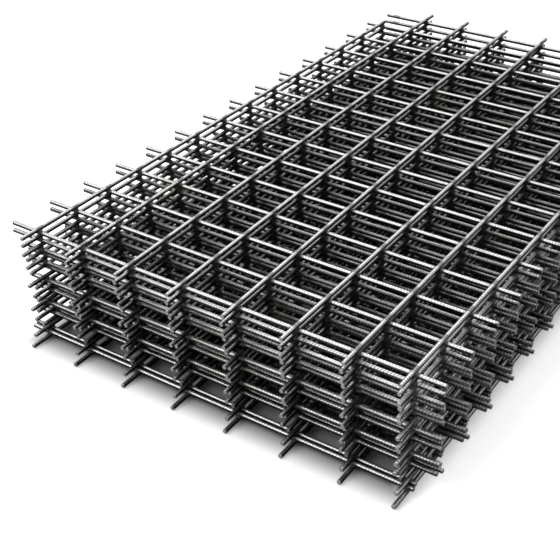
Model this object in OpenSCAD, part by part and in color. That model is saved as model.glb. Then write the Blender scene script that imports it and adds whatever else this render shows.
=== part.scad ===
// Stack of welded reinforcing mesh sheets lying flat on one another.
// +X runs across the sheets, +Y along them, +Z up. The origin is at the
// middle of the stack's footprint, on the floor.

/* [Wire] */
// Diameter of every wire, over its ribs
wire_d = 10; // [6:0.5:14]
// Depth that two crossing wires melt into each other at a weld
weld_sink = 0.5; // [0.2:0.1:1.5]
// Flat sides of a wire
wire_sides = 8; // [8, 12]

/* [Long wires] */
// Long wires in a sheet
long_count = 8; // [4:1:12]
// Spacing of the inner long wires, at the near end
long_pitch = 130; // [80:5:200]
// Spacing of the first two long wires, on the left
left_bay = 122; // [70:5:200]
// Spacing of the last two long wires, on the right
right_bay = 114; // [70:2:200]
// Length that the long wires run out past the first cross wire
near_overhang = 50; // [20:1:70]
// Length that the long wires run out past the last cross wire
far_overhang = 35; // [15:1:60]
// Distance that a long wire drifts sideways over the length of the sheet
wire_lean = 40; // [0:5:50]

/* [Cross wires] */
// Cross wires in a sheet
cross_count = 15; // [5:1:20]
// Spacing of the inner cross wires
cross_pitch = 100; // [70:5:200]
// Spacing of the first two cross wires, at the near end
near_bay = 105; // [60:5:200]
// Spacing of the last two cross wires, at the far end
far_bay = 80; // [60:5:200]
// Length that the first cross wire runs out past the left long wire, in the two top sheets
left_overhang = 76; // [45:1:90]
// The same length in the sheets below those two
low_left_overhang = 45; // [42:1:90]
// Length by which the left run-out shrinks towards the far end of a sheet
left_taper = 30; // [0:1:30]
// Length that the last cross wire runs out past the line of the left long wire
corner_reach = 33; // [15:1:60]
// Length that the first cross wire runs out past the right long wire
right_overhang = 61; // [42:1:90]
// Length by which the right run-out shrinks towards the far end of a sheet
right_taper = 28; // [0:1:30]
// Length that the short left long wire runs out past the last cross wire but one
corner_stub = 12; // [8:1:25]

/* [Stack] */
// Play between wires that lie side by side in nested sheets
nest_play = 3; // [2:0.5:5]
// Greatest sideways step of a sheet in the stack
slip_x = 16; // [0:1:20]
// Greatest lengthwise step of a sheet in the stack
slip_y = 28; // [0:1:32]
// Length that the cross wires of the two lowest sheets run out past the right long wire
foot_stub = 14; // [10:1:90]

/* [Hidden] */

long_span = left_bay + (long_count - 3) * long_pitch + right_bay;
cross_span = near_bay + (cross_count - 3) * cross_pitch + far_bay;
sheet_l = cross_span + near_overhang + far_overhang;
layer_rise = wire_d - weld_sink;
sheet_rise = layer_rise + wire_d;
side_step = wire_d + nest_play;

// Drift of each long wire, from the left, as a share of wire_lean
LEAN = [1.2, 0.4, -0.1, -0.4, -0.8, -0.3, -0.6, -0.4];

// How each sheet lies, from the lowest up: whether its long wires are
// underneath, the side to which it nests beside the sheet below, and its
// step across and along, as shares of slip_x and slip_y
LAY = [
    [true, 1, 0.3, -0.9],
    [false, 1, 0.1, 0],
    [true, -1, 0, 0.9],
    [false, -1, -1, 0],
    [false, 1, -0.8, 0.65],
    [false, 1, -0.3, -0.1],
    [true, -1, 0, 1],
    [false, -1, -0.8, 0],
    [false, 1, -0.6, 0.75],
    [false, 1, -0.2, -0.05],
    [false, 1, -0.7, 0.6],
    [false, 1, -0.5, 0.25],
    [false, 1, -0.4, 0.3],
    [false, 1, -0.1, -0.1],
    [false, 1, -0.25, 0.05],
    [false, 1, 0, 0]
];
LAST = len(LAY) - 1;

function long_x(i) =
    -long_span / 2
    + (i == 0 ? 0 : left_bay + (min(i, long_count - 2) - 1) * long_pitch)
    + (i == long_count - 1 ? right_bay : 0);
function cross_y(i) =
    -sheet_l / 2 + near_overhang
    + (i == 0 ? 0 : near_bay + (min(i, cross_count - 2) - 1) * cross_pitch)
    + (i == cross_count - 1 ? far_bay : 0);
function drift(i) = LEAN[i % len(LEAN)] * wire_lean;
function leaning_x(i, y) = long_x(i) + drift(i) * (y / sheet_l + 0.5);

// Run-outs of cross wire i in the sheet in place k, and the ends that they
// give it. The last cross wire has no left long wire to cross.
function way_along(i) = (cross_y(i) - cross_y(0)) / cross_span;
function left_reach(i, k) =
    i == cross_count - 1 ? corner_reach
    : (k < LAST - 1 ? low_left_overhang : left_overhang) - left_taper * way_along(i);
function right_reach(i, k) =
    k < 2 ? foot_stub : right_overhang - right_taper * way_along(i);
function left_end(i, k) = leaning_x(0, cross_y(i)) - left_reach(i, k);
function right_end(i, k) = leaning_x(long_count - 1, cross_y(i)) + right_reach(i, k);

// A sheet that lies the other way up from the sheet below nests into it.
// Its lower wires lie on the lower wires of that sheet, beside its upper
// wires: beside the long ones it steps across, beside the cross ones along.
function nested(k) = k > 0 && LAY[k][0] != LAY[k - 1][0];
function base_z(k) =
    k == 0 ? 0 : base_z(k - 1) + (nested(k) ? wire_d : sheet_rise);
function lay_x(k) =
    nested(k) && LAY[k][0] ? lay_x(k - 1) + LAY[k][1] * side_step
    : LAY[k][2] * slip_x;
function lay_y(k) =
    nested(k) && !LAY[k][0] ? lay_y(k - 1) + LAY[k][1] * side_step
    : LAY[k][3] * slip_y;

MIN_X = min([for (k = [0:LAST], i = [0:cross_count - 1]) lay_x(k) + left_end(i, k)]);
MAX_X = max([for (k = [0:LAST], i = [0:cross_count - 1]) lay_x(k) + right_end(i, k)]);
MID_X = (MIN_X + MAX_X) / 2;
MID_Y = (max([for (k = [0:LAST]) lay_y(k)]) + min([for (k = [0:LAST]) lay_y(k)])) / 2;

// A straight wire along +Z with flats facing down, up and to both sides
module wire(length) {
    linear_extrude(length)
        rotate(180 / wire_sides)
            circle(d = wire_d / cos(180 / wire_sides), $fn = wire_sides);
}

module long_wires() {
    short_by = far_overhang + far_bay - corner_stub;
    for (i = [0:long_count - 1]) {
        turn = atan(drift(i) / sheet_l);
        translate([long_x(i), -sheet_l / 2, wire_d / 2])
            rotate([-90, 0, -turn])
                wire((sheet_l - (i == 0 ? short_by : 0)) / cos(turn));
    }
}

module cross_wires(k) {
    for (i = [0:cross_count - 1])
        translate([left_end(i, k), cross_y(i), wire_d / 2])
            rotate([0, 90, 0])
                wire(right_end(i, k) - left_end(i, k));
}

// The welded sheet in place k, standing on its lower wires
module mesh_sheet(k) {
    long_under = LAY[k][0];
    color([0.27, 0.27, 0.28]) {
        translate([0, 0, long_under ? 0 : layer_rise])
            long_wires();
        translate([0, 0, long_under ? layer_rise : 0])
            cross_wires(k);
    }
}

// The same sheet where it lies in the stack; place 0 is on the floor
module lay_sheet(k) {
    translate([lay_x(k) - MID_X, lay_y(k) - MID_Y, base_z(k)])
        mesh_sheet(k);
}

lay_sheet(0);  // sheet_01
lay_sheet(1);  // sheet_02
lay_sheet(2);  // sheet_03
lay_sheet(3);  // sheet_04
lay_sheet(4);  // sheet_05
lay_sheet(5);  // sheet_06
lay_sheet(6);  // sheet_07
lay_sheet(7);  // sheet_08
lay_sheet(8);  // sheet_09
lay_sheet(9);  // sheet_10
lay_sheet(10);  // sheet_11
lay_sheet(11);  // sheet_12
lay_sheet(12);  // sheet_13
lay_sheet(13);  // sheet_14
lay_sheet(14);  // sheet_15
lay_sheet(15);  // sheet_16
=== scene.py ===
"""Looks of the stack of welded mesh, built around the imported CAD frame.

Lengths are in metres with +Z up, and colours are linear. For the camera and the lights, azimuth 0 is
the near side (-Y) and 90 the right side (+X), in degrees.
"""

import math

import bpy
import numpy as np
from mathutils import Matrix, Vector


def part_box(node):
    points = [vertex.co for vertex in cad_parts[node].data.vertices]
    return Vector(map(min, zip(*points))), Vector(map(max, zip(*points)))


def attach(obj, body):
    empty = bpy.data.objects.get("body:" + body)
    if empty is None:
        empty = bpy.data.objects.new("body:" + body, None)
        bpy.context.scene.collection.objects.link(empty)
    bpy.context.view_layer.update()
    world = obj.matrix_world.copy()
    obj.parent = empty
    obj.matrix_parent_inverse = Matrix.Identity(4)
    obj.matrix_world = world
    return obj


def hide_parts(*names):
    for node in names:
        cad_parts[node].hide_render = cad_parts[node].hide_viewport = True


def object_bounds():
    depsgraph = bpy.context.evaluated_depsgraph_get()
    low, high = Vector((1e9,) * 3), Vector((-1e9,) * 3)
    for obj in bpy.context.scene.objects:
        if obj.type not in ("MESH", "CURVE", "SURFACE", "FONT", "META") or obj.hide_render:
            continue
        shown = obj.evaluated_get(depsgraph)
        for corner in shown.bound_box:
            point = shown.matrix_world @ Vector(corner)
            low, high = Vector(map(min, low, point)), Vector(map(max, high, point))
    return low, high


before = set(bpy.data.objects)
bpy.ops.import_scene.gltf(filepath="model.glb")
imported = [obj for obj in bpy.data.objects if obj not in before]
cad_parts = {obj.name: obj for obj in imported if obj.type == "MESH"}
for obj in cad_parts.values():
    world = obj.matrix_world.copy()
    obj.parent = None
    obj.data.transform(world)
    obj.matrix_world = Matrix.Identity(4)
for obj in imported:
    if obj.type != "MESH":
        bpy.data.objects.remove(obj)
cad_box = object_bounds()

# The sheets and their wires, as in the part's source
SHEET_COUNT = len(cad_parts)
WIRE_D = 0.010
WELD_SINK = 0.0005
LONG_COUNT = 8
LONG_PITCH = 0.130
LEFT_BAY = 0.122
RIGHT_BAY = 0.114
NEAR_OVERHANG = 0.050
FAR_OVERHANG = 0.035
WIRE_LEAN = 0.040
LEAN = [1.2, 0.4, -0.1, -0.4, -0.8, -0.3, -0.6, -0.4]
CROSS_COUNT = 15
CROSS_PITCH = 0.100
NEAR_BAY = 0.105
FAR_BAY = 0.080
LEFT_OVERHANG = 0.076
LOW_LEFT_OVERHANG = 0.045
LEFT_TAPER = 0.030
CORNER_REACH = 0.033
RIGHT_OVERHANG = 0.061
RIGHT_TAPER = 0.028
FOOT_STUB = 0.014
CORNER_STUB = 0.012
# The top sheets run out further on the left, and the lowest ones hardly at all on the right
TOP_SHEETS = 2
FOOT_SHEETS = 2
# Sheets that lie with their long wires underneath, counted from the floor
TURNED = {1, 3, 7}
# Sheets in full view, whose ribs are modelled; the others have them as bump
RIBBED = {1, 15, 16}

# Sides of a round wire, and the slanted ribs and the spine on it. A rib leans along the wire by
# RIB_TILT either way, and the spine stands where the turn's cosine is below SPINE_HALF_WIDTH.
WIRE_SIDES = 10
RIB_PITCH = 0.0065
RIB_HEIGHT = 0.0002
RIB_TILT = 0.0018
RIB_ROUNDNESS = 0.6
SPINE_HALF_WIDTH = 0.2
SPINE_SHARE = 0.8
CORE_R = WIRE_D / 2 - RIB_HEIGHT
# Cut ends: the bevel's length and its radius as a share of the core's, and how far in from the end
# the ribs and their slant begin
BEVEL_LENGTH = 0.0007
BEVEL_SIZE = 0.86
RIB_FREE_END = 0.003
TILT_FREE_END = 0.002
# Rings of vertices along a wire whose ribs are only bump
PLAIN_END = 0.02
PLAIN_PITCH = 0.045
# Sideways bend of a wire at the most
MOST_BEND = 0.0008
# Length that counts as one bay on the ends that stand out past the outer wires
END_BAY = 0.1

# Weld beads: rings and sides, half width and half height, and how much they vary
BEAD_RINGS = 5
BEAD_SIDES = 8
BEAD_WIDE = 0.0062
BEAD_TALL = 0.0034
BEAD_SIZES = (0.9, 1.15)
BEAD_LUMPS = (0.9, 1.1)

# Share of the painted highlight: full on the top sheet and the outer wires, less on the inner wires as
# painted shade
FULL_LIGHT_SHARE = 1.0
INNER_LONG_LIGHT_SHARE = 0.21
INNER_CROSS_LIGHT_SHARE = 0.42
# The ends that stand out past the outer wires get a larger share of the painted highlight
STUB_LIGHT_SHARE = 0.6
# A cut end counts as halfway between welds, and is bright at its rim and duller at its middle
MID_BAY = 0.5
CUT_RIM = 1.0
CUT_MIDDLE = 0.3

# Steel: its colours, and how much of the last three covers the ones under it
SCALE_DARK = (0.008, 0.008, 0.0085)
SCALE_PALE = (0.028, 0.028, 0.0285)
# Colour of the painted highlight along the wire tops
PAINTED_HIGHLIGHT = (0.59, 0.59, 0.59)
BARE_STEEL = (0.30, 0.30, 0.30)
SCORCHED = (0.046, 0.045, 0.039)
STAINED = (0.095, 0.093, 0.055)
WORN_SHARE = 0.18
SCORCH_SHARE = 0.55
STAIN_SHARE = 0.3
METALLIC = 0.9
EDGE_TINT = (0.25, 0.25, 0.25)
# Roughness of the bare steel, and what grain, the painted highlight and scorching add to it
ROUGH_BASE = 0.22
ROUGH_GRAIN = 0.10
ROUGH_PAINTED_HIGHLIGHT = 0.06
ROUGH_SCORCHED = 0.15
# How far the painted highlight along a wire's top narrows with a lower light share, and how its
# brightness falls
NARROWING = 0.45
LIGHT_SHARE_POWER = 0.55
# Noise scales, from broad stains to fine grain
STAIN_NOISE = 5.0
SCALE_NOISE = 9.0
PATCH_NOISE = 160.0
GRAIN_NOISE = 420.0
# Depth of the bump, and the grain's height in it as a share of the ribs'
BUMP_DEPTH = 0.00015
GRAIN_BUMP = 0.35

CAMERA_PLACE = (1.2007, -2.0782, 1.5081)
CAMERA_AZIMUTH = 36.354
CAMERA_ELEVATION = 33.893
CAMERA_ROLL = -2.637
CAMERA_LENS = 75.89
CAMERA_SENSOR = 36.0
CAMERA_REACH = 200.0

# Name, azimuth, elevation, spread and strength
SUNS = [
    ("key", -60.0, 54.0, 34.0, 0.8),
    ("front", -40.0, 36.0, 34.0, 0.85),
    ("kicker", -149.0, 41.0, 34.0, 1.25),
    ("overhead", -150.0, 74.0, 90.0, 0.4),
]
WHITE = (1.0, 1.0, 1.0)
# Light from the world on the object, and what is added to the floor that the camera sees
WORLD_LEVEL = 0.16
FLOOR_GLOW = 0.76
FLOOR_COLOUR = (0.86, 0.86, 0.86)
# Darker floor colour under the stack, a painted shade
FLOOR_PAINTED_SHADE = (0.40, 0.40, 0.40)
FLOOR_HALF = 30.0
# The floor lies this far below the lowest wires, so that they never share a face
FLOOR_DROP = 0.0002
# The floor turns from the painted shade under the stack to its pale colour between these two distances
# from the edge of the lowest sheet's box, negative inside it
SHADE_INSIDE = -0.06
SHADE_OUTSIDE = 0.03

# The one source of every random draw
rng = np.random.default_rng(7)


def places(start, pitches):
    """Running places from a first one and the steps after it."""
    found = [start]
    for pitch in pitches:
        found.append(found[-1] + pitch)
    return found


# Near ends of the long wires from the left one, and cross wires from the near end of the sheet
LONG_XS = places(0.0, [LEFT_BAY] + [LONG_PITCH] * (LONG_COUNT - 3) + [RIGHT_BAY])
CROSS_YS = places(NEAR_OVERHANG, [NEAR_BAY] + [CROSS_PITCH] * (CROSS_COUNT - 3) + [FAR_BAY])
SHEET_L = CROSS_YS[-1] + FAR_OVERHANG


def long_x(i, y):
    """Place of a long wire, which drifts sideways along the sheet."""
    return LONG_XS[i] + LEAN[i] * WIRE_LEAN * y / SHEET_L


def left_reach(j, number):
    """Length that cross wire j runs out past the left long wire, in sheet number."""
    if j == CROSS_COUNT - 1:
        return CORNER_REACH
    most = LEFT_OVERHANG if number > SHEET_COUNT - TOP_SHEETS else LOW_LEFT_OVERHANG
    return most - LEFT_TAPER * (CROSS_YS[j] - CROSS_YS[0]) / (CROSS_YS[-1] - CROSS_YS[0])


def right_reach(j, number):
    """Length that cross wire j runs out past the right long wire, in sheet number."""
    if number <= FOOT_SHEETS:
        return FOOT_STUB
    return RIGHT_OVERHANG - RIGHT_TAPER * (CROSS_YS[j] - CROSS_YS[0]) / (CROSS_YS[-1] - CROSS_YS[0])


class MeshBuilder:
    """Gathers tubes and weld beads into one mesh with its point attributes.

    wire_along is the distance along the wire, then the cosine and sine of the turn round it.
    wire_place is the distance along in bays from weld to weld, then the share of the painted highlight,
    then the cut end.
    """

    def __init__(self):
        self.points = []
        self.faces = []
        self.along = []
        self.place = []
        self.count = 0

    def add(self, points, along, place, *face_sets):
        for faces in face_sets:
            self.faces.extend((faces + self.count).tolist())
        self.points.append(points)
        self.along.append(along)
        self.place.append(place)
        self.count += len(points)

    def mesh(self, name):
        mesh = bpy.data.meshes.new(name)
        mesh.from_pydata(np.concatenate(self.points).tolist(), [], self.faces)
        for label, rows in (("wire_along", self.along), ("wire_place", self.place)):
            attribute = mesh.attributes.new(label, "FLOAT_VECTOR", "POINT")
            attribute.data.foreach_set("vector", np.concatenate(rows).astype(np.float32).ravel())
        mesh.shade_smooth()
        mesh.update()
        return mesh


def ring_stations(length, crossings, ribbed):
    """Distances along a wire at which it has a ring of vertices."""
    ends = [0.0, BEVEL_LENGTH]
    if ribbed:
        body = np.arange(RIB_FREE_END, length - RIB_FREE_END, RIB_PITCH / 2)
    else:
        body = np.arange(PLAIN_END, length - PLAIN_END, PLAIN_PITCH)
        body = np.union1d(body.round(5), np.array(crossings).round(5))
    return np.concatenate([ends, body, [length - e for e in reversed(ends)]])


def rib_relief(stations, turns):
    """Radius and slant of a ribbed wire's vertices: crescents on both flanks and a spine."""
    length = stations[-1]
    crest = (np.arange(len(stations)) % 2).reshape(-1, 1)
    flank = np.abs(np.cos(turns))
    share = np.where(flank < SPINE_HALF_WIDTH, SPINE_SHARE, crest * flank ** RIB_ROUNDNESS)
    inner = (stations > TILT_FREE_END) & (stations < length - TILT_FREE_END)
    return CORE_R + RIB_HEIGHT * share, RIB_TILT * np.sin(turns) * inner.reshape(-1, 1)


def tube_faces(ring_count):
    """Quads between the rings of a wire."""
    ring = np.arange(WIRE_SIDES)
    following = (ring + 1) % WIRE_SIDES
    base = (np.arange(ring_count - 1) * WIRE_SIDES).reshape(-1, 1)
    above = base + WIRE_SIDES
    return np.stack([base + ring, base + following, above + following, above + ring], -1).reshape(-1, 4)


def add_cut_end(builder, rim, light_share, turned):
    """A flat fan over the rim of a wire's first or last ring."""
    order = np.arange(WIRE_SIDES)
    if turned:
        order = order[::-1]
    fan = [[WIRE_SIDES, order[(k + 1) % WIRE_SIDES], order[k]] for k in range(WIRE_SIDES)]
    points = np.concatenate([rim, rim.mean(0, keepdims=True)])
    place = np.tile([MID_BAY, light_share, CUT_RIM], (WIRE_SIDES + 1, 1))
    place[WIRE_SIDES, 2] = CUT_MIDDLE
    builder.add(points, np.zeros_like(points), place, np.array(fan))


def add_wire(builder, start, finish, crossings, ribbed, light_share):
    """One level wire from start to finish, slightly wavy, with bevelled cut ends."""
    length = (finish - start).length
    direction = (finish - start) / length
    side = Vector((-direction.y, direction.x, 0))
    stations = ring_stations(length, crossings, ribbed)
    count = len(stations)
    roll = rng.uniform(0, 2 * math.pi)
    rib_start = rng.uniform(0, RIB_PITCH)
    bend = rng.uniform(-1, 1) * MOST_BEND
    bend_start = rng.uniform(0, 2 * math.pi)

    around = np.tile(np.arange(WIRE_SIDES) * 2 * math.pi / WIRE_SIDES, (count, 1))
    turns = around + roll
    s = np.repeat(stations, WIRE_SIDES).reshape(count, WIRE_SIDES)
    if ribbed:
        radius, slant = rib_relief(stations, turns)
        s = s + slant
    else:
        radius = np.full_like(s, WIRE_D / 2 - RIB_HEIGHT * 0.5)
    radius[0] = radius[-1] = CORE_R * BEVEL_SIZE
    sway = bend * np.sin(stations / length * 2 * math.pi + bend_start)
    out = radius * np.cos(around) + sway.reshape(count, 1)
    x = start.x + direction.x * s + side.x * out
    y = start.y + direction.y * s + side.y * out
    z = start.z + radius * np.sin(around)
    rings = np.stack([x, y, z], -1)

    last = len(crossings) - 1
    before = s < crossings[0]
    after = s > crossings[-1]
    bay = np.interp(s, crossings, np.arange(len(crossings)))
    bay = np.where(before, (s - crossings[0]) / END_BAY, bay)
    bay = np.where(after, last + (s - crossings[-1]) / END_BAY, bay)
    # Share of the painted highlight at each point, larger on the ends past the outer wires
    point_light_share = np.where(before | after, max(light_share, STUB_LIGHT_SHARE), light_share)
    along = np.stack([s + rib_start, np.cos(turns), np.sin(turns)], -1)
    place = np.stack([bay, point_light_share, np.zeros_like(s)], -1)
    builder.add(rings.reshape(-1, 3), along.reshape(-1, 3), place.reshape(-1, 3), tube_faces(count))
    add_cut_end(builder, rings[0], light_share, False)
    add_cut_end(builder, rings[-1], light_share, True)


def add_weld_bead(builder, centre, light_share):
    """A flattened, uneven bead where two wires melt together."""
    size = rng.uniform(*BEAD_SIZES)
    wide = BEAD_WIDE * size
    tall = BEAD_TALL * size
    points = []
    quads = []
    caps = []
    for ring in range(BEAD_RINGS):
        polar = math.pi * (ring + 0.5) / BEAD_RINGS
        for k in range(BEAD_SIDES):
            turn = 2 * math.pi * k / BEAD_SIDES
            reach = wide * rng.uniform(*BEAD_LUMPS) * math.sin(polar)
            points.append((centre[0] + reach * math.cos(turn),
                           centre[1] + reach * math.sin(turn),
                           centre[2] + tall * math.cos(polar)))
    top = len(points)
    points.append((centre[0], centre[1], centre[2] + tall))
    points.append((centre[0], centre[1], centre[2] - tall))
    last_ring = (BEAD_RINGS - 1) * BEAD_SIDES
    for base in range(0, last_ring, BEAD_SIDES):
        for k in range(BEAD_SIDES):
            n = (k + 1) % BEAD_SIDES
            quads.append([base + n, base + k, base + BEAD_SIDES + k, base + BEAD_SIDES + n])
    for k in range(BEAD_SIDES):
        n = (k + 1) % BEAD_SIDES
        caps.append([top, k, n])
        caps.append([top + 1, last_ring + n, last_ring + k])
    along = np.zeros((len(points), 3))
    place = np.tile([0.0, light_share, 0.0], (len(points), 1))
    builder.add(np.array(points), along, place, np.array(quads), np.array(caps))


def build_sheet(number, steel):
    """One welded sheet in its place, made of its wires and weld beads."""
    node = f"sheet_{number:02d}"
    low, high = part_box(node)
    builder = MeshBuilder()
    ribbed = number in RIBBED
    on_top = number == SHEET_COUNT
    lower = low.z + WIRE_D / 2
    upper = lower + (WIRE_D - WELD_SINK)
    long_z, cross_z = (lower, upper) if number in TURNED else (upper, lower)
    origin_x = low.x + left_reach(0, number) - long_x(0, NEAR_OVERHANG)
    origin_y = (low.y + high.y - SHEET_L) / 2

    for i in range(LONG_COUNT):
        run = SHEET_L
        if i == 0:
            run = SHEET_L - (FAR_OVERHANG + FAR_BAY - CORNER_STUB)
        start = Vector((origin_x + LONG_XS[i], origin_y, long_z))
        finish = Vector((origin_x + long_x(i, run), origin_y + run, long_z))
        crossings = [y for y in CROSS_YS if y < run]
        # Full painted highlight on the top sheet and the outer wires, less on the inner ones as painted
        # shade
        light_share = FULL_LIGHT_SHARE if on_top or i in (0, LONG_COUNT - 1) else INNER_LONG_LIGHT_SHARE
        add_wire(builder, start, finish, crossings, ribbed, light_share)
    for j, y in enumerate(CROSS_YS):
        left = long_x(0, y) - left_reach(j, number)
        right = long_x(LONG_COUNT - 1, y) + right_reach(j, number)
        start = Vector((origin_x + left, origin_y + y, cross_z))
        finish = Vector((origin_x + right, origin_y + y, cross_z))
        crossings = [long_x(i, y) - left for i in range(LONG_COUNT)]
        # Full painted highlight on the top sheet and the outer wires, less on the inner ones as painted
        # shade
        light_share = FULL_LIGHT_SHARE if on_top or j in (0, CROSS_COUNT - 1) else INNER_CROSS_LIGHT_SHARE
        add_wire(builder, start, finish, crossings, ribbed, light_share)
    for i in range(LONG_COUNT):
        for j, y in enumerate(CROSS_YS):
            # The left long wire stops short of the last cross wire
            if i == 0 and j == CROSS_COUNT - 1:
                continue
            centre = (origin_x + long_x(i, y), origin_y + y, (long_z + cross_z) / 2)
            # Weld beads take the painted highlight share of the top sheet or of the inner long wires
            add_weld_bead(builder, centre, FULL_LIGHT_SHARE if on_top else INNER_LONG_LIGHT_SHARE)

    piece = bpy.data.objects.new(f"mesh_{number:02d}", builder.mesh(f"mesh_{number:02d}"))
    bpy.context.scene.collection.objects.link(piece)
    piece.data.materials.append(steel)
    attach(piece, "root")
    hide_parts(node)


class Nodes:
    """Short calls for building a node tree."""

    def __init__(self, owner):
        owner.use_nodes = True
        self.tree = owner.node_tree
        self.tree.nodes.clear()

    def node(self, kind, **settings):
        made = self.tree.nodes.new(kind)
        for key, value in settings.items():
            setattr(made, key, value)
        return made

    def link(self, source, target):
        self.tree.links.new(source, target)

    def math(self, operation, a, b=None, c=None, clamp=False):
        made = self.node("ShaderNodeMath", operation=operation, use_clamp=clamp)
        for socket, value in zip(made.inputs, (a, b, c)):
            if isinstance(value, (int, float)):
                socket.default_value = value
            elif value is not None:
                self.link(value, socket)
        return made.outputs[0]

    def ramp(self, value, low, high, low_out=0.0, high_out=1.0):
        """A smooth step from low_out at low to high_out at high."""
        made = self.node("ShaderNodeMapRange", clamp=True, interpolation_type="SMOOTHSTEP")
        self.link(value, made.inputs["Value"])
        made.inputs["From Min"].default_value = low
        made.inputs["From Max"].default_value = high
        made.inputs["To Min"].default_value = low_out
        made.inputs["To Max"].default_value = high_out
        return made.outputs["Result"]

    def noise(self, scale, detail, roughness, vector):
        made = self.node("ShaderNodeTexNoise")
        made.inputs["Scale"].default_value = scale
        made.inputs["Detail"].default_value = detail
        made.inputs["Roughness"].default_value = roughness
        self.link(vector, made.inputs["Vector"])
        return made.outputs["Fac"]

    def mix(self, factor, a, b):
        made = self.node("ShaderNodeMix", data_type="RGBA")
        self.link(factor, made.inputs["Factor"])
        for socket, value in ((made.inputs[6], a), (made.inputs[7], b)):
            if isinstance(value, tuple):
                socket.default_value = (*value, 1.0)
            else:
                self.link(value, socket)
        return made.outputs[2]

    def parts(self, vector):
        """The three numbers of a vector."""
        made = self.node("ShaderNodeSeparateXYZ")
        self.link(vector, made.inputs[0])
        return made.outputs

    def seen_directly(self):
        """1 for the camera and for what metal or glass shows of this surface, 0 for its light."""
        path = self.node("ShaderNodeLightPath").outputs
        mirrored = self.math("MAXIMUM", path["Is Glossy Ray"], path["Is Transmission Ray"])
        return self.math("MAXIMUM", path["Is Camera Ray"], mirrored)

    def output(self, shader, kind="ShaderNodeOutputMaterial"):
        self.link(shader.outputs[0], self.node(kind).inputs["Surface"])


def rib_mask(n, s, cos_turn, sin_turn, end):
    """Slanted crescents on both flanks, and a spine along the wire, but none on a cut end."""
    slant = n.math("MULTIPLY", sin_turn, RIB_TILT / RIB_PITCH)
    pitches = n.math("SUBTRACT", n.math("DIVIDE", s, RIB_PITCH), slant)
    off_crest = n.math("ABSOLUTE", n.math("SUBTRACT", n.math("FRACT", pitches), 0.5))
    crest = n.ramp(off_crest, 0.16, 0.34, 1.0, 0.0)
    flank = n.math("ABSOLUTE", cos_turn)
    crescent = n.math("MULTIPLY", crest, n.ramp(flank, 0.12, 0.5))
    spine = n.ramp(flank, 0.06, 0.16, 1.0, 0.0)
    not_end = n.math("SUBTRACT", 1.0, end, clamp=True)
    return n.math("MULTIPLY", n.math("MAXIMUM", crescent, spine), not_end)


def scorch_mask(n, bay, patchy):
    """Patches round the welds, which stand at the whole numbers of bay."""
    off_weld = n.math("ABSOLUTE", n.math("SUBTRACT", bay, n.math("ROUND", bay)))
    reach = n.math("MULTIPLY_ADD", patchy, 0.10, 0.02)
    return n.ramp(n.math("SUBTRACT", off_weld, reach), 0.0, 0.05, 1.0, 0.0)


def painted_highlight_mask(n, light_share, ribs, grain):
    """Painted highlight along the tops of the wires, from how far the normal faces up, narrower and
    weaker where the light share is lower.
    """
    up = n.parts(n.node("ShaderNodeNewGeometry").outputs["Normal"])[2]
    narrowing = n.math("MULTIPLY_ADD", light_share, -NARROWING, NARROWING)
    mask = n.ramp(n.math("SUBTRACT", up, narrowing), 0.34, 0.84)
    mask = n.math("MULTIPLY", mask, n.ramp(grain, 0.34, 0.52, 0.35, 1.0))
    mask = n.math("MULTIPLY", mask, n.math("MULTIPLY_ADD", ribs, 0.5, 0.5))
    return n.math("MULTIPLY", mask, n.math("POWER", light_share, LIGHT_SHARE_POWER))


def steel_material():
    """Dark ribbed bar: mill scale, a painted highlight along the wire tops, worn crests, heat marks at
    the welds, bright cut ends.
    """
    material = bpy.data.materials.new("ribbed_steel")
    n = Nodes(material)
    coords = n.node("ShaderNodeTexCoord").outputs["Object"]
    along = n.node("ShaderNodeAttribute", attribute_name="wire_along").outputs["Vector"]
    place = n.node("ShaderNodeAttribute", attribute_name="wire_place").outputs["Vector"]
    s, cos_turn, sin_turn = n.parts(along)
    bay, light_share, end = n.parts(place)
    broad = n.noise(SCALE_NOISE, 4.0, 0.6, coords)
    patchy = n.noise(PATCH_NOISE, 3.0, 0.6, coords)
    grain = n.noise(GRAIN_NOISE, 4.0, 0.65, coords)
    ribs = rib_mask(n, s, cos_turn, sin_turn, end)
    scorch = scorch_mask(n, bay, patchy)
    painted_highlight = painted_highlight_mask(n, light_share, ribs, grain)
    scale = n.ramp(n.math("MULTIPLY_ADD", grain, 0.5, n.math("MULTIPLY", broad, 0.5)), 0.36, 0.62)
    worn = n.math("MULTIPLY", ribs, n.ramp(patchy, 0.35, 0.65, 0.35, 1.0))
    stain = n.ramp(n.noise(STAIN_NOISE, 5.0, 0.7, coords), 0.56, 0.68)

    colour = n.mix(scale, SCALE_DARK, SCALE_PALE)
    # Painted highlight along the wire tops, where the normal faces up
    colour = n.mix(painted_highlight, colour, PAINTED_HIGHLIGHT)
    colour = n.mix(n.math("MULTIPLY", worn, WORN_SHARE), colour, BARE_STEEL)
    colour = n.mix(n.math("MULTIPLY", scorch, SCORCH_SHARE), colour, SCORCHED)
    colour = n.mix(n.math("MULTIPLY", stain, STAIN_SHARE), colour, STAINED)
    colour = n.mix(end, colour, BARE_STEEL)

    rough = n.math("MULTIPLY_ADD", painted_highlight, ROUGH_PAINTED_HIGHLIGHT, ROUGH_BASE)
    rough = n.math("MULTIPLY_ADD", grain, ROUGH_GRAIN, rough)
    rough = n.math("MULTIPLY_ADD", scorch, ROUGH_SCORCHED, rough, clamp=True)

    bump = n.node("ShaderNodeBump")
    bump.inputs["Strength"].default_value = 1.0
    bump.inputs["Distance"].default_value = BUMP_DEPTH
    n.link(n.math("MULTIPLY_ADD", grain, GRAIN_BUMP, ribs), bump.inputs["Height"])

    shader = n.node("ShaderNodeBsdfPrincipled")
    shader.inputs["Metallic"].default_value = METALLIC
    shader.inputs["Specular Tint"].default_value = (*EDGE_TINT, 1.0)
    n.link(colour, shader.inputs["Base Color"])
    n.link(rough, shader.inputs["Roughness"])
    n.link(bump.outputs["Normal"], shader.inputs["Normal"])
    n.output(shader)
    return material


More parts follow.
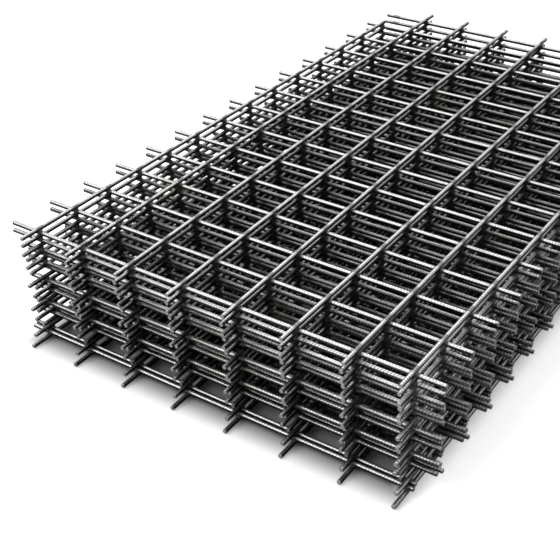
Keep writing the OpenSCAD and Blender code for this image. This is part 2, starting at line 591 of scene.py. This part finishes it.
def floor_material():
    """Pale floor with a painted shade under the stack, which the camera sees as white where no shadow
    falls.
    """
    material = bpy.data.materials.new("pale_floor")
    n = Nodes(material)
    # The lift to white ends at the lowest sheet, so the floor under the stack stays in shade
    spot = n.parts(n.node("ShaderNodeTexCoord").outputs["Object"])
    low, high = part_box("sheet_01")
    away = []
    for axis in (0, 1):
        middle = (low[axis] + high[axis]) / 2
        half = (high[axis] - low[axis]) / 2
        offset = n.math("ABSOLUTE", n.math("SUBTRACT", spot[axis], middle))
        away.append(n.math("SUBTRACT", offset, half))
    outside = n.ramp(n.math("MAXIMUM", *away), SHADE_INSIDE, SHADE_OUTSIDE)

    plain = n.node("ShaderNodeBsdfDiffuse")
    # The darker colour under the stack is painted shade
    n.link(n.mix(outside, FLOOR_PAINTED_SHADE, FLOOR_COLOUR), plain.inputs["Color"])
    glow = n.node("ShaderNodeEmission")
    glow.inputs["Color"].default_value = (*WHITE, 1.0)
    lift = n.math("MULTIPLY", n.seen_directly(), FLOOR_GLOW)
    n.link(n.math("MULTIPLY", lift, outside), glow.inputs["Strength"])
    both = n.node("ShaderNodeAddShader")
    n.link(plain.outputs[0], both.inputs[0])
    n.link(glow.outputs[0], both.inputs[1])
    n.output(both)
    return material


def make_floor():
    mesh = bpy.data.meshes.new("floor")
    corners = [(-FLOOR_HALF, -FLOOR_HALF, 0), (FLOOR_HALF, -FLOOR_HALF, 0),
               (FLOOR_HALF, FLOOR_HALF, 0), (-FLOOR_HALF, FLOOR_HALF, 0)]
    mesh.from_pydata(corners, [], [(0, 1, 2, 3)])
    mesh.materials.append(floor_material())
    floor = bpy.data.objects.new("floor", mesh)
    bpy.context.scene.collection.objects.link(floor)
    floor.location.z = cad_box[0][2] - FLOOR_DROP


def make_world():
    """Weak even light, which the camera and the metal see as white."""
    world = bpy.data.worlds.new("studio")
    bpy.context.scene.world = world
    n = Nodes(world)
    glow = n.node("ShaderNodeBackground")
    glow.inputs["Color"].default_value = (*WHITE, 1.0)
    n.link(n.ramp(n.seen_directly(), 0.0, 1.0, WORLD_LEVEL, 1.0), glow.inputs["Strength"])
    n.output(glow, "ShaderNodeOutputWorld")


def toward(azimuth, elevation):
    """Unit vector from the object towards a direction."""
    az = math.radians(azimuth)
    el = math.radians(elevation)
    return Vector((math.sin(az) * math.cos(el), -math.cos(az) * math.cos(el), math.sin(el)))


def soft_sun(name, azimuth, elevation, spread, strength):
    """A soft light from far away, so that it is even over the whole floor."""
    data = bpy.data.lights.new(name, "SUN")
    data.angle = math.radians(spread)
    data.energy = strength
    lamp = bpy.data.objects.new(name, data)
    bpy.context.scene.collection.objects.link(lamp)
    lamp.rotation_euler = toward(azimuth, elevation).to_track_quat("Z", "Y").to_euler()


def make_camera():
    """The photo's camera, turned a little about its own axis."""
    data = bpy.data.cameras.new("camera")
    data.sensor_width = CAMERA_SENSOR
    data.lens = CAMERA_LENS
    data.clip_end = CAMERA_REACH
    camera = bpy.data.objects.new("camera", data)
    bpy.context.scene.collection.objects.link(camera)
    back = toward(CAMERA_AZIMUTH, CAMERA_ELEVATION)
    right = toward(CAMERA_AZIMUTH + 90, 0)
    up = back.cross(right)
    turn = math.radians(CAMERA_ROLL)
    rolled_right = math.cos(turn) * right + math.sin(turn) * up
    rolled_up = -math.sin(turn) * right + math.cos(turn) * up
    matrix = Matrix((rolled_right, rolled_up, back)).transposed().to_4x4()
    matrix.translation = Vector(CAMERA_PLACE)
    camera.matrix_world = matrix
    bpy.context.scene.camera = camera


bpy.context.scene.view_settings.view_transform = "Standard"
make_camera()
make_world()
make_floor()
for sun in SUNS:
    soft_sun(*sun)
ribbed_steel = steel_material()
for sheet in range(1, SHEET_COUNT + 1):
    build_sheet(sheet, ribbed_steel)
